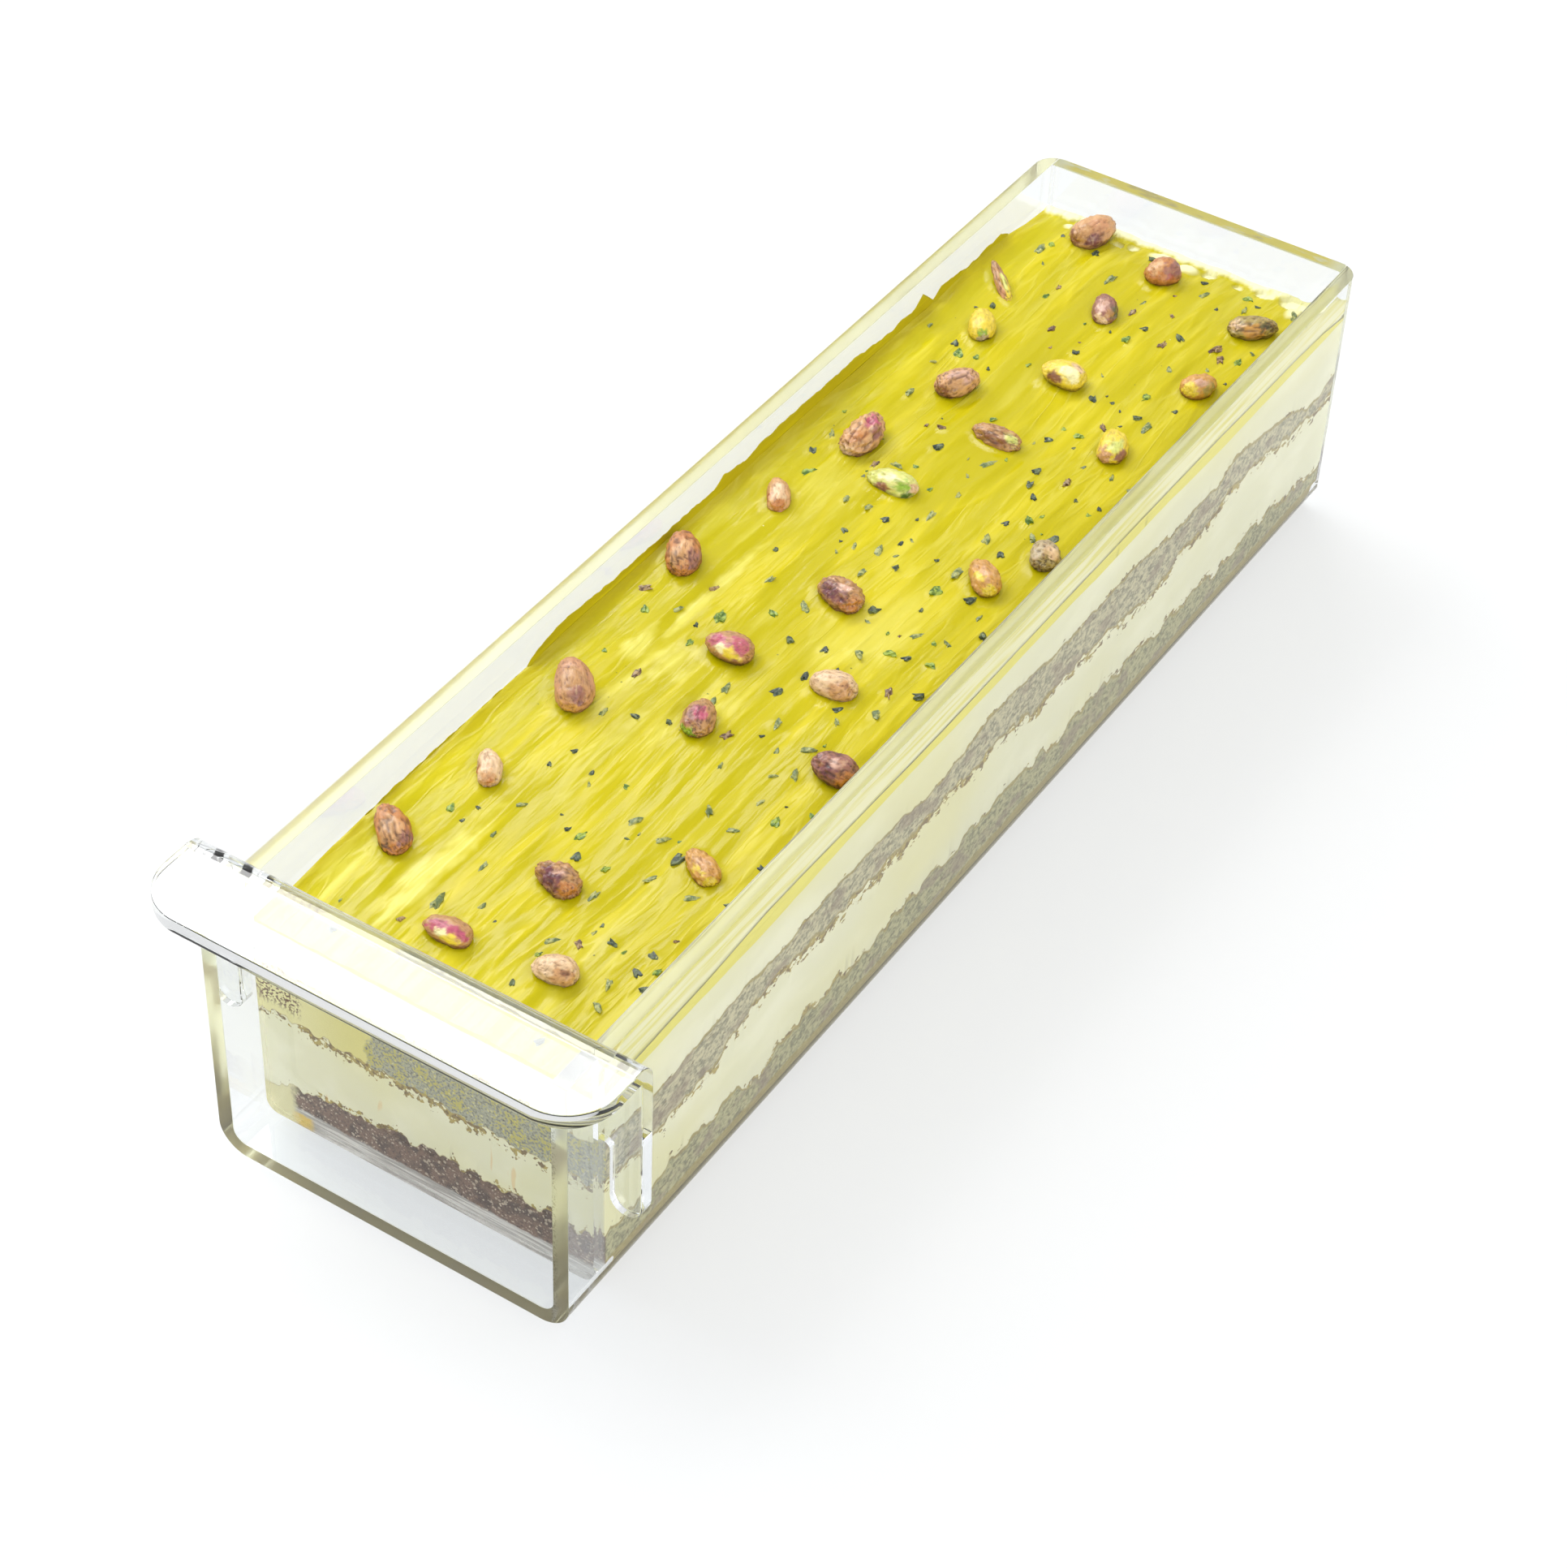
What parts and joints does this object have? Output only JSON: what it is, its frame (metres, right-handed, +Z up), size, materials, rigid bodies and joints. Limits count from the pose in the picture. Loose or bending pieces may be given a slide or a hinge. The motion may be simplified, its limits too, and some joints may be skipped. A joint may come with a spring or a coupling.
{
  "type": "pistachio bar cake in a clear tray",
  "caption": "Long pistachio layer cake in a clear drawer-shaped tray with a front grip: sponge and cream layers under a ridged glaze set with nut kernels.",
  "frame": {"origin": "middle of the tray's footprint on the surface it stands on", "axes": "+Z up, +Y along the tray from the grip to the back wall, +X to the right as seen from the grip"},
  "size_m": [0.147, 0.462, 0.0993],
  "materials": {
    "acrylic": "clear cast acrylic sheet, polished faces and edges",
    "sponge_brown": "open crumb of a brown nut sponge, matte",
    "sponge_pale": "open crumb of an olive pistachio sponge, matte",
    "cream": "smooth pale pistachio cream, soft sheen",
    "glaze": "glossy spread pistachio cream with spatula ridges and chopped nut",
    "kernel": "wrinkled nut skin over green flesh, oily sheen"
  },
  "bodies": {
    "root": {"tray_channel": "acrylic", "tray_front_panel_grip": "acrylic", "tray_back_wall": "acrylic", "sponge_lower": "sponge_brown", "cream_lower": "cream", "sponge_upper": "sponge_pale", "cream_upper": "cream", "pistachio_glaze": "glaze", "kernel_01": "kernel", "kernel_02": "kernel", "kernel_03": "kernel", "kernel_04": "kernel", "kernel_05": "kernel", "kernel_06": "kernel", "kernel_07": "kernel", "kernel_08": "kernel", "kernel_09": "kernel", "kernel_10": "kernel", "kernel_11": "kernel", "kernel_12": "kernel", "kernel_13": "kernel", "kernel_14": "kernel", "kernel_15": "kernel", "kernel_16": "kernel", "kernel_17": "kernel", "kernel_18": "kernel", "kernel_19": "kernel", "kernel_20": "kernel", "kernel_21": "kernel", "kernel_22": "kernel", "kernel_23": "kernel", "kernel_24": "kernel", "kernel_25": "kernel", "kernel_26": "kernel", "kernel_27": "kernel", "kernel_28": "kernel", "kernel_29": "kernel"}
  },
  "joints": []
}
